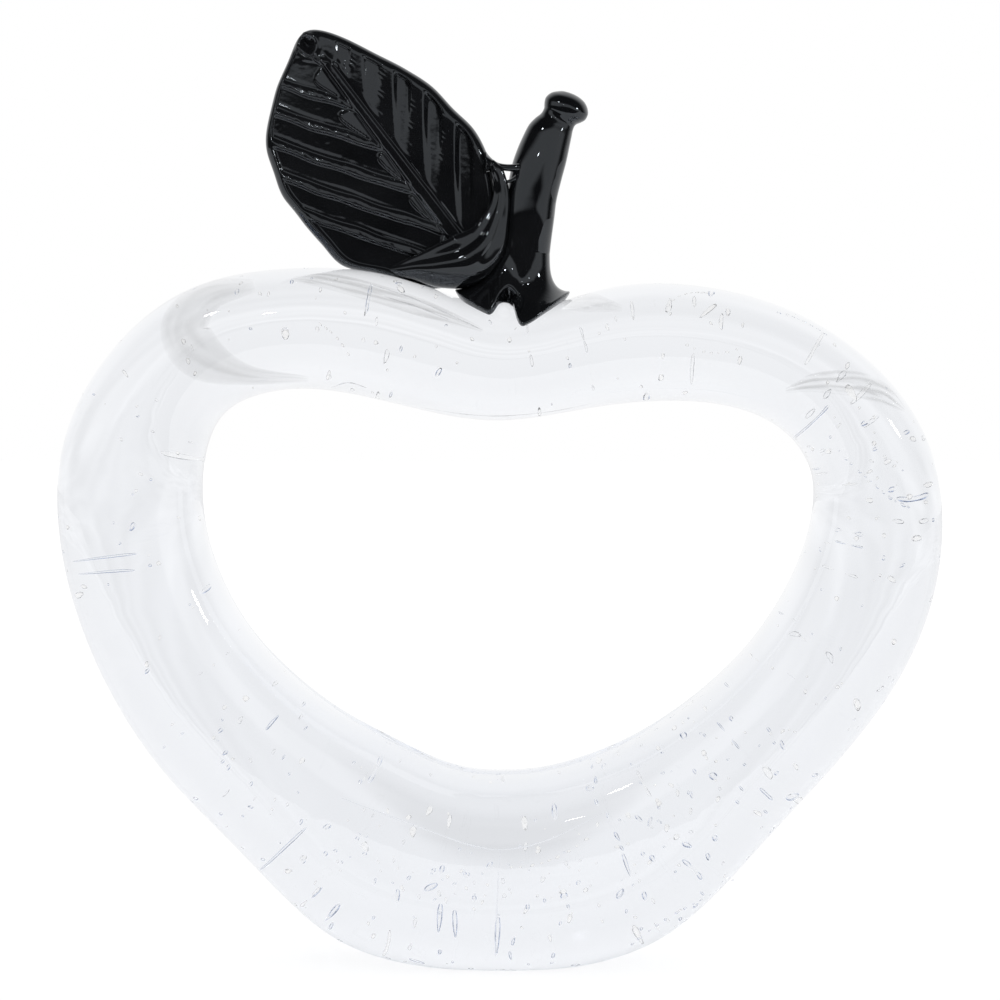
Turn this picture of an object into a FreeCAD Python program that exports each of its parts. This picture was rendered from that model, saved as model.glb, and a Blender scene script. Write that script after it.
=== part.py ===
import FreeCAD, Part

import math
import os

import Sketcher
from FreeCAD import Placement, Rotation, Vector

# An art glass apple: an open, heart-shaped loop of clear seeded glass that stands on a ground flat,
# with a stem and a pressed leaf of black glass fused to the dip in its crown. +Z is up, the front
# faces -Y, and the origin is the middle of the object's footprint. All lengths are in millimetres.

# Driving sizes: name, value, what it is
SIZES = [
    ("loop_width", 216.0, "outside width of the loop"),
    ("loop_height", 170.2, "ground flat to the higher shoulder"),
    ("foot_depth", 52.0, "front to back of the loop at its foot"),
    ("crown_depth", 38.0, "front to back of the loop at its crown"),
    ("foot_grind", 2.0, "glass ground off below to make the flat"),
    ("stem_height", 46.5, "dip of the crown to the neck of the stem"),
    ("stem_thickness", 12.2, "diameter of the stem at mid height"),
    ("stem_lean", 10.7, "how far the neck stands to the right of the foot"),
    ("nub_length", 11.2, "length of the bent nub where the stem was sheared off"),
    ("nub_thickness", 6.6, "height of the nub"),
    ("nub_breadth", 9.6, "front to back of the nub"),
    ("toe_length", 15.0, "length of a toe where the stem's foot ran down the crown"),
    ("toe_width", 11.0, "width of a toe"),
    ("toe_thickness", 7.0, "thickness of a toe"),
    ("toe_spread", 7.2, "stem axis to the middle of a toe, front to back"),
    ("leaf_length", 63.5, "length of the leaf along its midrib"),
    ("leaf_width", 47.0, "width of the leaf across its midrib"),
    ("leaf_thickness", 6.6, "thickness of the leaf at its middle"),
    ("leaf_reach", 13.1, "dip of the crown to the base of the leaf, to the left"),
    ("leaf_rise", 16.8, "dip of the crown to the base of the leaf, upwards"),
    ("leaf_bow", 3.0, "how far the tip of the leaf bends back"),
    ("vein_width", 3.0, "width of a pressed vein groove"),
    ("vein_pitch", 9.6, "spacing of the vein grooves along the midrib"),
    ("midrib_width", 3.0, "width of the raised midrib at its base"),
    ("dimple_width", 5.2, "width of the dimple that the jacks left in the tip of the leaf"),
    ("collar_width", 13.2, "width of the collar at its middle"),
    ("collar_thickness", 9.6, "front to back of the collar at its middle"),
    ("bridge_thickness", 3.0, "diameter of the bridge between collar and stem"),
    ("overrun", 6.0, "how far a cutting tool reaches past what it cuts"),
]

LEAF_TILT = 36.65  # degrees that the midrib leans to the left of upright
VEIN_ANGLE = 37.0  # degrees between a vein and the midrib
VEIN_DIVE = 3.5  # degrees that a vein dives into the leaf as the leaf thins towards its edge
NUB_DROOP = 20.0  # degrees that the nub droops to the right
VEINS_PER_SIDE = 6

# Squareness of the loop's section: 2 is an ellipse, and higher is closer to a rectangle.
FOOT_SQUARENESS = 3.0
CROWN_SQUARENESS = 2.3
SECTION_POINTS = 16

# The loop's outline, clockwise as seen from the front, from the middle of the foot: outer x and z,
# then inner x and z. x is a share of half the width, and z of the height before grinding.
OUTLINE_SHARES = [
    (0.001, 0.000, 0.001, 0.283),
    (-0.213, 0.014, -0.116, 0.293),
    (-0.382, 0.053, -0.242, 0.329),
    (-0.585, 0.171, -0.378, 0.377),
    (-0.788, 0.308, -0.522, 0.455),
    (-0.946, 0.492, -0.628, 0.557),
    (-1.000, 0.655, -0.671, 0.664),
    (-0.950, 0.814, -0.648, 0.768),
    (-0.754, 0.953, -0.563, 0.816),
    (-0.472, 1.000, -0.414, 0.828),
    (-0.202, 0.983, -0.213, 0.804),
    (0.028, 0.942, 0.001, 0.784),
    (0.227, 0.970, 0.204, 0.802),
    (0.486, 0.972, 0.434, 0.811),
    (0.756, 0.907, 0.614, 0.780),
    (0.953, 0.774, 0.705, 0.705),
    (1.000, 0.630, 0.693, 0.616),
    (0.885, 0.401, 0.560, 0.463),
    (0.599, 0.188, 0.351, 0.350),
    (0.384, 0.057, 0.227, 0.311),
    (0.215, 0.014, 0.118, 0.290),
]
DIP_X_SHARE, DIP_Z_SHARE = OUTLINE_SHARES[11][:2]  # the dip of the crown, where the stem stands

# The stem, from inside the crown up: height as a share of stem_height, offset as a share of
# stem_lean, and diameter as a share of stem_thickness.
STEM_SHARES = [
    (-0.06, -0.04, 2.00),
    (0.05, 0.00, 2.00),
    (0.13, 0.06, 1.76),
    (0.22, 0.14, 1.34),
    (0.34, 0.27, 1.07),
    (0.51, 0.37, 1.00),
    (0.68, 0.55, 1.03),
    (0.83, 0.73, 1.00),
    (0.94, 0.86, 0.84),
    (1.02, 1.00, 0.62),
]
NUB_X_SHARE = 0.22  # of nub_length, from the neck of the stem to the middle of the nub
NUB_Z_SHARE = 0.42  # of nub_thickness, from the neck of the stem to the middle of the nub
# The toes of the stem's foot: x as a share of toe_length, y as a share of toe_spread
TOE_SHARES = [(-0.50, -1.0), (0.42, -1.0), (-0.45, 0.95), (0.50, 0.90)]
TOE_SINK_SHARE = 0.10  # of toe_thickness, that a toe's middle lies below the dip

# The leaf: place along the midrib as a share of leaf_length, then its left and right half width as
# shares of leaf_width, and its thickness as a share of leaf_thickness.
LEAF_SHARES = [
    (-0.12, 0.20, 0.06, 0.62),
    (-0.04, 0.34, 0.20, 0.80),
    (0.08, 0.46, 0.31, 0.92),
    (0.22, 0.57, 0.39, 1.00),
    (0.40, 0.59, 0.39, 1.00),
    (0.58, 0.59, 0.355, 0.97),
    (0.74, 0.50, 0.262, 0.88),
    (0.87, 0.305, 0.16, 0.74),
    (0.95, 0.145, 0.085, 0.58),
    (0.99, 0.045, 0.035, 0.36),
]
VEIN_START_SHARE = -0.02  # of leaf_length, where the first pair of grooves leaves the midrib
VEIN_REACH_SHARES = (-0.50, 0.31)  # of leaf_width, how far the grooves reach to the left and right
VEIN_DEPTH_SHARE = 0.40  # of vein_width, that the bottom of a groove lies below the leaf's face
# The midrib, from the base up: place as a share of leaf_length, width as a share of midrib_width,
# and how far its middle lies in front of the leaf's mid-plane as a share of leaf_thickness
MIDRIB_SHARES = [(-0.03, 1.00, 0.30), (0.30, 0.92, 0.40), (0.60, 0.82, 0.39), (0.88, 0.66, 0.29)]
DIMPLE_SHARE = 0.935  # of leaf_length, from the base to the dimple
DIMPLE_DEPTH_SHARE = 0.30  # of dimple_width, that the dimple is pressed in
TIP_FACE_SHARE = 0.30  # of leaf_thickness, from the mid-plane to the leaf's face at the dimple

# The collar: x and z from the leaf's base as shares of leaf_width, which it wraps, and its size as
# a share of collar_width and collar_thickness.
COLLAR_SHARES = [
    (-0.311, -0.162, 0.24),
    (-0.203, -0.186, 0.52),
    (-0.061, -0.162, 0.86),
    (0.061, -0.084, 1.00),
    (0.155, 0.027, 0.88),
    (0.197, 0.149, 0.58),
    (0.193, 0.277, 0.40),
    (0.178, 0.362, 0.28),
]
COLLAR_FORWARD_SHARE = 0.22  # of collar_thickness, that the collar lies in front of the leaf
BRIDGE_X_SHARE, BRIDGE_Z_SHARE = 0.178, 0.367  # of leaf_width, the leaf's base to the bridge
BRIDGE_END_SHARE = 0.60  # of stem_lean, from the dip to the bridge's end inside the stem

# Expressions for the places that the pieces share: the dip of the crown and the leaf's base
DIP_X = f"Sizes.loop_width / 2 * {DIP_X_SHARE}"
DIP_Z = f"(Sizes.loop_height + Sizes.foot_grind) * {DIP_Z_SHARE} - Sizes.foot_grind"
BASE_X = f"{DIP_X} - Sizes.leaf_reach"
BASE_Z = f"{DIP_Z} + Sizes.leaf_rise"
COLLAR_Y = f"-Sizes.collar_thickness * {COLLAR_FORWARD_SHARE}"

UP, RIGHT, BACK = Vector(0, 0, 1), Vector(1, 0, 0), Vector(0, 1, 0)


def make_sheet(doc):
    """The spreadsheet of driving sizes."""
    sheet = doc.addObject("Spreadsheet::Sheet", "Sizes")
    for row, (alias, value, meaning) in enumerate(SIZES, start=1):
        sheet.set(f"A{row}", meaning)
        sheet.set(f"B{row}", str(value))
        sheet.setAlias(f"B{row}", alias)
    doc.recompute()
    return sheet


def bind(thing, **expressions):
    """Binds properties to expressions. In a keyword, a double underscore stands for a dot."""
    for name, expression in expressions.items():
        thing.setExpression(name.replace("__", "."), expression)


def put(thing, x, y, z, turn=Rotation(), holder="Placement"):
    """Gives the object a turn, and a place from three expressions."""
    setattr(thing, holder, Placement(Vector(), turn))
    for axis, expression in (("x", x), ("y", y), ("z", z)):
        thing.setExpression(f"{holder}.Base.{axis}", expression)


def cut(doc, label, base, *tools):
    """base without each of the tools. The last cut carries the label."""
    for number, tool in enumerate(tools, start=1):
        step = doc.addObject("Part::Cut", f"{label}_cut_{number}")
        step.Base = base
        step.Tool = tool
        base = step
    base.Label = label
    return base


def closed_spline(points, places):
    """A closed smooth curve through the points. places has one more value than points."""
    curve = Part.BSplineCurve()
    curve.interpolate(Points=points, Parameters=places, PeriodicFlag=True)
    return curve


def closed_net_solid(rings, places):
    """The solid inside a smooth tube that closes on itself, through rings of points."""
    count = len(rings[0])
    rails = [closed_spline([ring[k] for ring in rings], places) for k in range(count)]
    turns = [float(k) for k in range(count + 1)]
    hoops = [closed_spline(list(poles), turns) for poles in zip(*[r.getPoles() for r in rails])]
    surface = Part.BSplineSurface()
    surface.buildFromPolesMultsKnots(
        [hoop.getPoles() for hoop in hoops],
        rails[0].getMultiplicities(),
        hoops[0].getMultiplicities(),
        rails[0].getKnots(),
        hoops[0].getKnots(),
        True,
        True,
        rails[0].Degree,
        hoops[0].Degree,
    )
    solid = Part.Solid(Part.Shell([surface.toShape()]))
    if solid.Volume < 0:
        solid.reverse()
    return solid


def loop_ring(sheet, outer_x, outer_z, inner_x, inner_z):
    """Points round one section of the loop, a superellipse between its outer and inner edge."""
    half_width = sheet.loop_width / 2
    blank_height = sheet.loop_height + sheet.foot_grind
    outer = Vector(outer_x * half_width, 0, outer_z * blank_height - sheet.foot_grind)
    inner = Vector(inner_x * half_width, 0, inner_z * blank_height - sheet.foot_grind)
    middle = (outer + inner) / 2
    reach = (outer - inner) / 2
    depth = BACK * ((sheet.foot_depth + (sheet.crown_depth - sheet.foot_depth) * outer_z) / 2)
    squareness = FOOT_SQUARENESS + (CROWN_SQUARENESS - FOOT_SQUARENESS) * outer_z
    ring = []
    for k in range(SECTION_POINTS):
        angle = math.tau * k / SECTION_POINTS
        across, through = math.cos(angle), math.sin(angle)
        swell = (abs(across) ** squareness + abs(through) ** squareness) ** (-1 / squareness)
        ring.append(middle + reach * (across * swell) + depth * (through * swell))
    return ring


def make_loop(doc, sheet):
    """The clear loop: a closed tube of glass with the flat ground under its foot."""
    rings = [loop_ring(sheet, *shares) for shares in OUTLINE_SHARES]
    middles = [(ring[0] + ring[SECTION_POINTS // 2]) / 2 for ring in rings]
    places = [0.0]
    for here, there in zip(middles, middles[1:] + middles[:1]):
        places.append(places[-1] + (there - here).Length)
    blank = doc.addObject("Part::Feature", "loop_blank")
    blank.Shape = closed_net_solid(rings, places)
    wheel = doc.addObject("Part::Box", "grinding_wheel")
    bind(
        wheel,
        Length="Sizes.loop_width",
        Width="Sizes.foot_depth + 2 * Sizes.overrun",
        Height="Sizes.foot_grind + Sizes.overrun",
    )
    put(
        wheel,
        "-Sizes.loop_width / 2",
        "-Sizes.foot_depth / 2 - Sizes.overrun",
        "-Sizes.foot_grind - Sizes.overrun",
    )
    return cut(doc, "apple_loop", blank, wheel)


def on_body(body, kind, name, x, y, z, turn=Rotation()):
    """A sketch or feature on the body's XY plane, with a turn and a place from expressions."""
    feature = body.newObject(kind, name)
    plane = next(part for part in body.Origin.OriginFeatures if part.Role == "XY_Plane")
    feature.AttachmentSupport = (plane, [""])
    feature.MapMode = "FlatFace"
    put(feature, x, y, z, turn, "AttachmentOffset")
    return feature


def circle_sketch(body, name, diameter, x, y, z):
    """A circle parallel to the body's XY plane, from expressions."""
    sketch = on_body(body, "Sketcher::SketchObject", name, x, y, z)
    circle = sketch.addGeometry(Part.Circle(Vector(), UP, 1), False)
    sketch.addConstraint(Sketcher.Constraint("Coincident", circle, 3, -1, 1))
    sketch.renameConstraint(sketch.addConstraint(Sketcher.Constraint("Diameter", circle, 1)), "size")
    sketch.setExpression("Constraints.size", diameter)
    return sketch


def ellipse_sketch(body, name, across, through, x, y, z):
    """An ellipse parallel to the body's XY plane with its long axis along X, from expressions."""
    sketch = on_body(body, "Sketcher::SketchObject", name, x, y, z)
    ellipse = sketch.addGeometry(Part.Ellipse(RIGHT, BACK / 2, Vector()), False)
    sketch.exposeInternalGeometry(ellipse)
    long_axis, short_axis = ellipse + 1, ellipse + 2
    sketch.addConstraint(Sketcher.Constraint("Coincident", ellipse, 3, -1, 1))
    sketch.addConstraint(Sketcher.Constraint("Horizontal", long_axis))
    for axis, size, expression in ((long_axis, "across", across), (short_axis, "through", through)):
        sketch.renameConstraint(sketch.addConstraint(Sketcher.Constraint("Distance", axis, 1)), size)
        sketch.setExpression(f"Constraints.{size}", expression)
    return sketch


def add_loft(body, name, sketches):
    """A smooth solid through the sketches, added to the body."""
    feature = body.newObject("PartDesign::AdditiveLoft", name)
    feature.Profile = sketches[0]
    feature.Sections = sketches[1:]


def make_stem(doc, loop):
    """The black stem: a drawn rod with a sheared, bent nub and a foot that runs down the crown."""
    body = doc.addObject("PartDesign::Body", "stem_body")
    put(body, DIP_X, "0", DIP_Z)
    levels = [
        circle_sketch(
            body,
            f"stem_level_{number}",
            f"Sizes.stem_thickness * {thick}",
            f"Sizes.stem_lean * {lean}",
            "0",
            f"Sizes.stem_height * {up}",
        )
        for number, (up, lean, thick) in enumerate(STEM_SHARES, start=1)
    ]
    add_loft(body, "stem_rod", levels)
    nub = on_body(
        body,
        "PartDesign::AdditiveEllipsoid",
        "stem_nub",
        f"Sizes.stem_lean + Sizes.nub_length * {NUB_X_SHARE}",
        "0",
        f"Sizes.stem_height + Sizes.nub_thickness * {NUB_Z_SHARE}",
        Rotation(BACK, NUB_DROOP),
    )
    bind(
        nub,
        Radius1="Sizes.nub_thickness / 2",
        Radius2="Sizes.nub_length / 2",
        Radius3="Sizes.nub_breadth / 2",
    )
    for number, (along, aside) in enumerate(TOE_SHARES, start=1):
        toe = on_body(
            body,
            "PartDesign::AdditiveEllipsoid",
            f"stem_toe_{number}",
            f"Sizes.toe_length * {along}",
            f"Sizes.toe_spread * {aside}",
            f"-Sizes.toe_thickness * {TOE_SINK_SHARE}",
        )
        bind(
            toe,
            Radius1="Sizes.toe_thickness / 2",
            Radius2="Sizes.toe_length / 2",
            Radius3="Sizes.toe_width / 2",
        )
    return cut(doc, "stem", body, loop)


def make_collar(doc, *neighbours):
    """The collar: a trail of glass that wraps the base of the leaf and ends at the stem."""
    path = [Vector(x, 0, z) for x, z, size in COLLAR_SHARES]
    hoops = []
    for number, (x, z, size) in enumerate(COLLAR_SHARES):
        along = path[min(number + 1, len(path) - 1)] - path[max(number - 1, 0)]
        hoop = doc.addObject("Part::Ellipse", f"collar_hoop_{number + 1}")
        bind(
            hoop,
            MajorRadius=f"Sizes.collar_width * {size / 2}",
            MinorRadius=f"Sizes.collar_thickness * {size / 2}",
        )
        put(
            hoop,
            f"{BASE_X} + Sizes.leaf_width * {x}",
            COLLAR_Y,
            f"{BASE_Z} + Sizes.leaf_width * {z}",
            Rotation(BACK.cross(along), Vector(), along, "ZXY"),
        )
        hoops.append(hoop)
    trail = doc.addObject("Part::Loft", "collar_trail")
    trail.Sections = hoops
    trail.Solid = True
    return cut(doc, "leaf_collar", trail, *neighbours)


def leaf_thickness_share(along):
    """The leaf's thickness at a place along the midrib, as a share of leaf_thickness."""
    for (low, _, _, thin), (high, _, _, thick) in zip(LEAF_SHARES, LEAF_SHARES[1:]):
        if along <= high:
            return thin + (thick - thin) * (along - low) / (high - low)


def bow(along):
    """Expression for how far back the leaf lies at a place along the midrib, also an expression."""
    return f"Sizes.leaf_bow * ({along}) * abs({along})"


def press_vein(body, name, place, start_share, reach_share):
    """One vein groove, from the midrib towards the edge, from the expression for its place."""
    sine = math.sin(math.radians(VEIN_ANGLE))
    side = math.copysign(1, reach_share)
    aim = Rotation(BACK, side * VEIN_ANGLE) * Rotation(RIGHT, -VEIN_DIVE)
    face = f"Sizes.leaf_thickness * {leaf_thickness_share(start_share) / 2}"
    lift = f"Sizes.vein_width * {0.5 - VEIN_DEPTH_SHARE}"
    along = f"({place}) / Sizes.leaf_length"
    groove = on_body(
        body,
        "PartDesign::SubtractiveCylinder",
        name,
        "0",
        f"{bow(along)} - {face} - {lift}",
        place,
        aim,
    )
    bind(
        groove,
        Radius="Sizes.vein_width / 2",
        Height=f"Sizes.leaf_width * {abs(reach_share) / sine}",
    )


def make_leaf(doc, sheet, *neighbours):
    """The leaf: a lens-shaped blade with pressed veins, a raised midrib and a dimple at its tip."""
    body = doc.addObject("PartDesign::Body", "leaf_body")
    put(body, BASE_X, "0", BASE_Z, Rotation(BACK, -LEAF_TILT))
    sections = [
        ellipse_sketch(
            body,
            f"leaf_section_{number}",
            f"Sizes.leaf_width * {left + right}",
            f"Sizes.leaf_thickness * {thick}",
            f"Sizes.leaf_width * {(right - left) / 2}",
            bow(along),
            f"Sizes.leaf_length * {along}",
        )
        for number, (along, left, right, thick) in enumerate(LEAF_SHARES, start=1)
    ]
    add_loft(body, "leaf_blade", sections)
    for number in range(VEINS_PER_SIDE):
        place = f"Sizes.leaf_length * {VEIN_START_SHARE} + Sizes.vein_pitch * {number}"
        start_share = VEIN_START_SHARE + number * sheet.vein_pitch / sheet.leaf_length
        for side, reach_share in zip(("left", "right"), VEIN_REACH_SHARES):
            press_vein(body, f"vein_{side}_{number + 1}", place, start_share, reach_share)
    beads = [
        circle_sketch(
            body,
            f"midrib_level_{number}",
            f"Sizes.midrib_width * {width}",
            "0",
            f"{bow(along)} - Sizes.leaf_thickness * {forward}",
            f"Sizes.leaf_length * {along}",
        )
        for number, (along, width, forward) in enumerate(MIDRIB_SHARES, start=1)
    ]
    add_loft(body, "midrib", beads)
    dimple = on_body(
        body,
        "PartDesign::SubtractiveEllipsoid",
        "tip_dimple",
        "0",
        f"{bow(DIMPLE_SHARE)} - Sizes.leaf_thickness * {TIP_FACE_SHARE}",
        f"Sizes.leaf_length * {DIMPLE_SHARE}",
    )
    bind(
        dimple,
        Radius1="Sizes.dimple_width / 2",
        Radius2="Sizes.dimple_width / 2",
        Radius3=f"Sizes.dimple_width * {DIMPLE_DEPTH_SHARE}",
    )
    return cut(doc, "leaf", body, *neighbours)


def make_bridge(doc, *neighbours):
    """The bridge: a short bit of glass from the end of the collar to the stem."""
    bit = doc.addObject("Part::Cylinder", "bridge_bit")
    start_x = f"{BASE_X} + Sizes.leaf_width * {BRIDGE_X_SHARE}"
    bind(
        bit,
        Radius="Sizes.bridge_thickness / 2",
        Height=f"({DIP_X} + Sizes.stem_lean * {BRIDGE_END_SHARE}) - ({start_x})",
    )
    bridge_z = f"{BASE_Z} + Sizes.leaf_width * {BRIDGE_Z_SHARE}"
    put(bit, start_x, COLLAR_Y, bridge_z, Rotation(UP, RIGHT))
    return cut(doc, "leaf_bridge", bit, *neighbours)


def check(doc, pieces):
    """Stops if an object failed or a piece isn't a sound solid, and prints what each piece is."""
    for thing in doc.Objects:
        if "Invalid" in thing.State or "Error" in thing.State:
            raise RuntimeError(f"{thing.Label} failed: {thing.State}")
    for piece in pieces:
        shape = piece.Shape
        if shape.isNull() or not shape.isValid() or not shape.Solids:
            raise RuntimeError(f"{piece.Label} is not a sound solid")
        print(f"{piece.Label}: {len(shape.Solids)} solid(s), {shape.Volume:.0f} mm3")


def main():
    doc = FreeCAD.newDocument("glass_apple")
    sheet = make_sheet(doc)
    loop = make_loop(doc, sheet)
    stem = make_stem(doc, loop)
    collar = make_collar(doc, loop, stem)
    leaf = make_leaf(doc, sheet, loop, stem, collar)
    bridge = make_bridge(doc, stem, collar, leaf)
    doc.recompute()
    pieces = [loop, stem, collar, leaf, bridge]
    check(doc, pieces)
    os.makedirs("parts", exist_ok=True)
    for piece in pieces:
        piece.Shape.exportStep(os.path.join("parts", f"{piece.Label}.step"))


main()
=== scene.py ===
import math

import bpy
import numpy as np
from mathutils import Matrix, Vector, noise
from mathutils.bvhtree import BVHTree


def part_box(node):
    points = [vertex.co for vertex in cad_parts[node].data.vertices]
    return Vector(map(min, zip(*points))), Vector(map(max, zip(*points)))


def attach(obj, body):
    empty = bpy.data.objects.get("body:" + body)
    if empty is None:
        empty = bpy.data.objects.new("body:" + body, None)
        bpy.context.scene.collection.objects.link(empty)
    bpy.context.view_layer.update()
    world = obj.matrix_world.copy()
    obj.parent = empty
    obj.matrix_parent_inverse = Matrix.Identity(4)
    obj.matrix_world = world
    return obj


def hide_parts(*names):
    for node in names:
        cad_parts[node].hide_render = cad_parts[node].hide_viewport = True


# The looks of an art glass apple: a heart-shaped loop of clear seeded glass, with a stem, a pressed
# leaf and a collar of black glass fused to its crown. Shapes are worked out in millimetres, +Z up,
# the front facing -Y, and go into Blender in metres.

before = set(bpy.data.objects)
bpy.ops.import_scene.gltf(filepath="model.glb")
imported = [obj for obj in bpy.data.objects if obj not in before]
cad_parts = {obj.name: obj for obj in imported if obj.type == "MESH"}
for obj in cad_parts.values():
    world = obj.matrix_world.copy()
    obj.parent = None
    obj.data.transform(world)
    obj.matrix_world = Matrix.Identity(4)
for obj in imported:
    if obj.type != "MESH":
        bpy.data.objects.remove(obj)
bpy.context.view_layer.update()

MM = 0.001
SEED = 11
rng = np.random.default_rng(SEED)


def node_box_mm(node):
    """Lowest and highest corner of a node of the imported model, in millimetres."""
    low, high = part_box(node)
    return np.array(low) / MM, np.array(high) / MM


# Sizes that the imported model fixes
LOOP_LOW, LOOP_HIGH = node_box_mm("apple_loop")
LOOP_WIDTH = 216.0
LOOP_HEIGHT = LOOP_HIGH[2]
FOOT_DEPTH, CROWN_DEPTH = LOOP_HIGH[1] - LOOP_LOW[1], 38.0
FOOT_GRIND = 2.0

# The loop's outline, clockwise as seen from the front, from the middle of the foot: outer x and z,
# then inner x and z. x is a share of half the width, and z of the height before grinding.
OUTLINE_SHARES = np.array([
    (0.001, 0.000, 0.001, 0.283),
    (-0.213, 0.014, -0.116, 0.293),
    (-0.382, 0.053, -0.242, 0.329),
    (-0.585, 0.171, -0.378, 0.377),
    (-0.788, 0.308, -0.522, 0.455),
    (-0.946, 0.492, -0.628, 0.557),
    (-1.000, 0.655, -0.671, 0.664),
    (-0.950, 0.814, -0.648, 0.768),
    (-0.754, 0.953, -0.563, 0.816),
    (-0.472, 1.000, -0.414, 0.828),
    (-0.202, 0.983, -0.213, 0.804),
    (0.028, 0.942, 0.001, 0.784),
    (0.227, 0.970, 0.204, 0.802),
    (0.486, 0.972, 0.434, 0.811),
    (0.756, 0.907, 0.614, 0.780),
    (0.953, 0.774, 0.705, 0.705),
    (1.000, 0.630, 0.693, 0.616),
    (0.885, 0.401, 0.560, 0.463),
    (0.599, 0.188, 0.351, 0.350),
    (0.384, 0.057, 0.227, 0.311),
    (0.215, 0.014, 0.118, 0.290),
])
FOOT_SQUARENESS, CROWN_SQUARENESS = 3.0, 2.3
LOOP_RINGS, LOOP_AROUND = 420, 120
FOOT_EDGE = 0.5  # radius where the ground flat meets the side
LOOP_WAVE = 0.22  # how far the free-blown surface wanders inwards
WELL = (1.2, -8.8, 2.6)  # where the clear glass wells up between the stem's front toes, and how far

BUBBLES = 640
BUBBLE_TRIES = 14  # places tried for each bubble
BUBBLE_DEEPEST = 0.88  # how near the skin a bubble's middle may lie, as a share
BUBBLE_ROOM = 0.62  # least depth under the skin, as a share of a bubble's length
BUBBLE_APART = 2.6  # least distance between two middles
BUBBLE_RINGS, BUBBLE_AROUND = 5, 8

# Where the black glass sits: the dip of the crown, and the leaf's base and lean
DIP = np.array([3.0, 0.0, 160.2])
LEAF_BASE = np.array([-10.1, 0.0, 177.0])
LEAF_TILT = math.radians(36.65)
LEAF_LENGTH, LEAF_SCALE = 62.9, 63.5  # the scale turns the outline's shares into widths
VEIN_ANGLE = math.radians(37.0)
VEIN_PITCH = 12.4


# Mesh helpers

def periodic_spline(places, values, wanted):
    """A closed cubic spline through values at places, read at the wanted places."""
    count = len(values)
    steps = np.diff(places)
    matrix = np.zeros((count, count))
    right_side = np.zeros_like(values)
    for k in range(count):
        before, after = steps[k - 1], steps[k]
        matrix[k, k - 1] += before / 6
        matrix[k, k] += (before + after) / 3
        matrix[k, (k + 1) % count] += after / 6
        rise_after = (values[(k + 1) % count] - values[k]) / after
        right_side[k] = rise_after - (values[k] - values[k - 1]) / before
    bends = np.linalg.solve(matrix, right_side)
    here = np.clip(np.searchsorted(places, wanted, side="right") - 1, 0, count - 1)
    there = (here + 1) % count
    step = steps[here][:, None]
    b = (wanted - np.array(places)[here])[:, None] / step
    a = 1 - b
    sag = ((a**3 - a) * bends[here] + (b**3 - b) * bends[there]) * step**2 / 6
    return a * values[here] + b * values[there] + sag


def open_spline(places, values, wanted):
    """A smooth monotone-stepping curve (Catmull-Rom) through values at places, read at wanted."""
    places, values = np.asarray(places, float), np.asarray(values, float)
    values = values.reshape(len(places), -1)
    slopes = np.gradient(values, places, axis=0)
    here = np.clip(np.searchsorted(places, wanted, side="right") - 1, 0, len(places) - 2)
    step = (places[here + 1] - places[here])[:, None]
    u = (wanted - places[here])[:, None] / step
    return (
        (2 * u**3 - 3 * u**2 + 1) * values[here]
        + (u**3 - 2 * u**2 + u) * step * slopes[here]
        + (3 * u**2 - 2 * u**3) * values[here + 1]
        + (u**3 - u**2) * step * slopes[here + 1]
    )


def smooth_step(x, low, high):
    """0 below low, 1 above high, and a smooth rise between."""
    u = np.clip((x - low) / (high - low), 0, 1)
    return u * u * (3 - 2 * u)


def bump(x, width):
    """A bell of height 1 round 0."""
    return np.exp(-((x / width) ** 2))


def wander(points, lump, seed):
    """Smooth noise, about -1 to 1, at each point. lump is the size of its lumps: one or three sizes."""
    shift = np.array([13.7, 7.1, 3.3]) * seed
    return np.array([noise.noise(Vector(p)) for p in points / lump + shift])


def grid_faces(rings, around, closed=False):
    """Quads between the rings of a tube. closed joins the last ring to the first."""
    ring = np.arange(rings if closed else rings - 1)[:, None]
    k = np.arange(around)[None, :]
    following = (ring + 1) % rings
    corners = (ring * around + k, ring * around + (k + 1) % around,
               following * around + (k + 1) % around, following * around + k)
    return np.stack(corners, -1).reshape(-1, 4)


def volume_of(points, quads):
    """Volume inside the quads, negative where they face inwards."""
    a, b, c, d = (points[quads[:, k]] for k in range(4))
    return np.einsum("ij,ij->", a, np.cross(b, c) + np.cross(c, d)) / 6


def make_mesh(name, points, faces):
    """A smooth-shaded mesh object from points in millimetres."""
    mesh = bpy.data.meshes.new(name)
    mesh.from_pydata((np.asarray(points) * MM).tolist(), [], faces)
    mesh.polygons.foreach_set("use_smooth", [True] * len(mesh.polygons))
    mesh.update()
    piece = bpy.data.objects.new(name, mesh)
    bpy.context.scene.collection.objects.link(piece)
    return piece


def closed_tube(rings):
    """Points and outward faces of a tube through the rings, with a cap at each end."""
    count, around = rings.shape[:2]
    points = rings.reshape(-1, 3)
    quads = grid_faces(count, around)
    first, last = len(points), len(points) + 1
    caps = np.array([(first, (k + 1) % around, k) for k in range(around)])
    start = (count - 1) * around
    ends = np.array([(last, start + k, start + (k + 1) % around) for k in range(around)])
    points = np.vstack([points, rings[0].mean(0), rings[-1].mean(0)])
    faces = quads.tolist() + caps.tolist() + ends.tolist()
    if volume_of(points, quads) < 0:
        faces = [face[::-1] for face in faces]
    return points, faces


def tube_mesh(name, rings):
    """A closed mesh object from rings of points."""
    return make_mesh(name, *closed_tube(rings))


# The clear loop

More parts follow.
